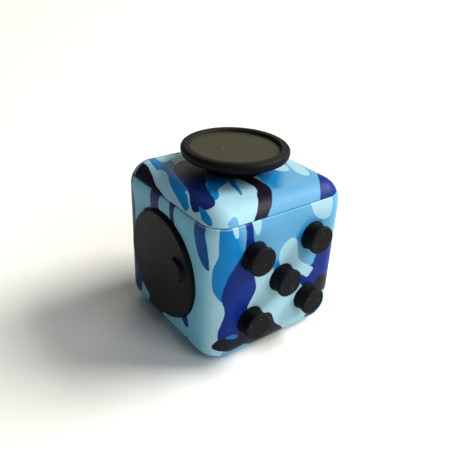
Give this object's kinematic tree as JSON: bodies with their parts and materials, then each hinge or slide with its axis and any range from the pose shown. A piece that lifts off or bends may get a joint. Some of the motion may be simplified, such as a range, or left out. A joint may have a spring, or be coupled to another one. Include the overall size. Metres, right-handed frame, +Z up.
{
  "type": "fidget cube",
  "caption": "Pocket fidget cube with rounded edges: a gliding thumb pad on top, push buttons, a spinning disc, a rocker, click wheels with a rolling ball, and a thumb hollow beneath.",
  "frame": {"origin": "centre of the flat bottom face, on the surface the cube stands on", "axes": "+Z up through the glide pad; -Y out of the button face; -X out of the spinning disc; +X out of the rocker; +Y out of the wheel and ball face"},
  "size_m": [0.0371, 0.0375, 0.038],
  "materials": {
    "camo_shell": "blue camouflage film, satin lacquer",
    "black_soft": "fine matt",
    "black_gloss": "satin",
    "inner_plastic": "as moulded acetal",
    "spring_steel": "drawn",
    "zinc_steel": "bright zinc",
    "polished_steel": "polished",
    "black_gear": "satin"
  },
  "bodies": {
    "casing": {"main_housing": "camo_shell", "top_cover": "camo_shell", "glide_retainer": "inner_plastic", "retainer_screws": "zinc_steel", "glide_spring": "spring_steel", "click_backplate": "inner_plastic", "click_screws": "zinc_steel", "snap_domes": "spring_steel", "button_spring_middle": "spring_steel", "button_spring_top_left": "spring_steel", "button_spring_top_right": "spring_steel", "button_spring_bottom_left": "spring_steel", "button_spring_bottom_right": "spring_steel", "rocker_frame": "inner_plastic", "rocker_pin": "polished_steel", "rocker_leaf": "spring_steel", "rocker_screws": "zinc_steel", "roll_axle": "polished_steel", "roll_bracket": "inner_plastic", "roll_comb": "spring_steel", "bracket_screws": "zinc_steel", "ball_spring": "spring_steel"},
    "cross_slide": {"glide_cross_slide": "inner_plastic"},
    "glide": {"glide_pad": "black_soft", "glide_slider": "inner_plastic", "glide_screw": "zinc_steel"},
    "button_middle": {"button_middle": "black_soft"},
    "button_top_left": {"button_top_left": "black_soft"},
    "button_top_right": {"button_top_right": "black_soft"},
    "button_bottom_left": {"button_bottom_left": "black_soft"},
    "button_bottom_right": {"button_bottom_right": "black_soft"},
    "spinner": {"spin_disc": "black_gloss", "spin_washer": "zinc_steel", "spin_screw": "zinc_steel"},
    "rocker": {"rocker": "black_gloss"},
    "wheel_1": {"roll_wheel_1": "black_gear"},
    "wheel_2": {"roll_wheel_2": "black_gear"},
    "wheel_3": {"roll_wheel_3": "black_gear"},
    "ball_seat": {"ball_seat": "inner_plastic"},
    "ball": {"roll_ball": "polished_steel"}
  },
  "joints": [
    {"name": "glide_x", "type": "slide", "parent": "casing", "child": "cross_slide", "axis": [1, 0, 0], "range_m": [-0.0013, 0.0013], "stiffness_N_per_m": 250, "deforming": ["glide_spring"]},
    {"name": "glide_y", "type": "slide", "parent": "cross_slide", "child": "glide", "axis": [0, 1, 0], "range_m": [-0.0013, 0.0013], "stiffness_N_per_m": 250, "deforming": ["glide_spring"]},
    {"name": "press_middle", "type": "slide", "parent": "casing", "child": "button_middle", "axis": [0, 1, 0], "range_m": [0, 0.0015], "stiffness_N_per_m": 400, "springref_m": -0.001, "deforming": ["button_spring_middle"]},
    {"name": "press_top_left", "type": "slide", "parent": "casing", "child": "button_top_left", "axis": [0, 1, 0], "range_m": [0, 0.0015], "stiffness_N_per_m": 400, "springref_m": -0.001, "deforming": ["button_spring_top_left"]},
    {"name": "press_top_right", "type": "slide", "parent": "casing", "child": "button_top_right", "axis": [0, 1, 0], "range_m": [0, 0.0015], "stiffness_N_per_m": 400, "springref_m": -0.001, "deforming": ["button_spring_top_right"]},
    {"name": "press_bottom_left", "type": "slide", "parent": "casing", "child": "button_bottom_left", "axis": [0, 1, 0], "range_m": [0, 0.0015], "stiffness_N_per_m": 400, "springref_m": -0.001, "deforming": ["button_spring_bottom_left"]},
    {"name": "press_bottom_right", "type": "slide", "parent": "casing", "child": "button_bottom_right", "axis": [0, 1, 0], "range_m": [0, 0.0015], "stiffness_N_per_m": 400, "springref_m": -0.001, "deforming": ["button_spring_bottom_right"]},
    {"name": "spin", "type": "hinge", "parent": "casing", "child": "spinner", "pos_m": [-0.0165, 0, 0.0162], "axis": [-1, 0, 0], "continuous": true},
    {"name": "flip", "type": "hinge", "parent": "casing", "child": "rocker", "pos_m": [0.0132, 0, 0.0158], "axis": [0, 1, 0], "range_deg": [0, 20], "deforming": ["rocker_leaf"]},
    {"name": "roll_1", "type": "hinge", "parent": "casing", "child": "wheel_1", "pos_m": [-0.0034, 0.0128, 0.022], "axis": [1, 0, 0], "continuous": true, "deforming": ["roll_comb"]},
    {"name": "roll_2", "type": "hinge", "parent": "casing", "child": "wheel_2", "pos_m": [0, 0.0128, 0.022], "axis": [1, 0, 0], "continuous": true, "deforming": ["roll_comb"]},
    {"name": "roll_3", "type": "hinge", "parent": "casing", "child": "wheel_3", "pos_m": [0.0034, 0.0128, 0.022], "axis": [1, 0, 0], "continuous": true, "deforming": ["roll_comb"]},
    {"name": "ball_press", "type": "slide", "parent": "casing", "child": "ball_seat", "axis": [0, -1, 0], "range_m": [0, 0.0009], "stiffness_N_per_m": 500, "springref_m": -0.0008, "deforming": ["ball_spring"]},
    {"name": "ball_roll", "type": "hinge", "parent": "ball_seat", "child": "ball", "pos_m": [0, 0.0148, 0.0095], "axis": [1, 0, 0], "continuous": true}
  ]
}
